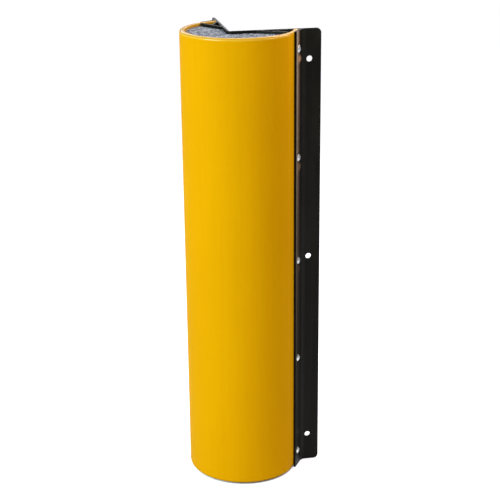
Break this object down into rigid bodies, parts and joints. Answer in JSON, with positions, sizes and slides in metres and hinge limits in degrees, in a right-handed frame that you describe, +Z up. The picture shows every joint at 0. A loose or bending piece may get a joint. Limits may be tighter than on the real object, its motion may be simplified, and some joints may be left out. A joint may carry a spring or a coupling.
{
  "type": "foam corner guard",
  "caption": "Upright corner guard: a rounded plastic shell filled with foam and riveted to a folded steel angle with bolt holes, for the corner of a wall or frame.",
  "frame": {"origin": "foot of the wall corner line, where the planes of the angle's two wall faces cross", "axes": "+X along the right leg, away from the corner; +Y along the left leg; +Z up along the corner line. The wall fills the quarter with X and Y positive"},
  "size_m": [0.294, 0.294, 1.005],
  "materials": {
    "yellow_shell": "satin",
    "foam": "matte",
    "black_steel": "satin",
    "black_weld": "satin",
    "zinc": "satin",
    "bare_steel": "satin"
  },
  "bodies": {
    "root": {"shell": "yellow_shell", "foam_core": "foam", "wall_angle": "black_steel", "clamp_strip_right": "black_steel", "clamp_strip_left": "black_steel", "strip_weld_right": "black_weld", "strip_weld_left": "black_weld", "inner_web_right": "black_steel", "inner_web_left": "black_steel", "web_weld_right": "black_weld", "web_weld_left": "black_weld", "web_brace_right": "black_steel", "web_brace_left": "black_steel", "rivet_right_1": "zinc", "rivet_right_2": "zinc", "rivet_right_3": "zinc", "rivet_right_4": "zinc", "rivet_right_5": "zinc", "rivet_left_1": "zinc", "rivet_left_2": "zinc", "rivet_left_3": "zinc", "rivet_left_4": "zinc", "rivet_left_5": "zinc", "rivet_mandrel_right_1": "bare_steel", "rivet_mandrel_right_2": "bare_steel", "rivet_mandrel_right_3": "bare_steel", "rivet_mandrel_right_4": "bare_steel", "rivet_mandrel_right_5": "bare_steel", "rivet_mandrel_left_1": "bare_steel", "rivet_mandrel_left_2": "bare_steel", "rivet_mandrel_left_3": "bare_steel", "rivet_mandrel_left_4": "bare_steel", "rivet_mandrel_left_5": "bare_steel", "rivet_washer_right_1": "zinc", "rivet_washer_right_2": "zinc", "rivet_washer_right_3": "zinc", "rivet_washer_right_4": "zinc", "rivet_washer_right_5": "zinc", "rivet_washer_left_1": "zinc", "rivet_washer_left_2": "zinc", "rivet_washer_left_3": "zinc", "rivet_washer_left_4": "zinc", "rivet_washer_left_5": "zinc"}
  },
  "joints": []
}
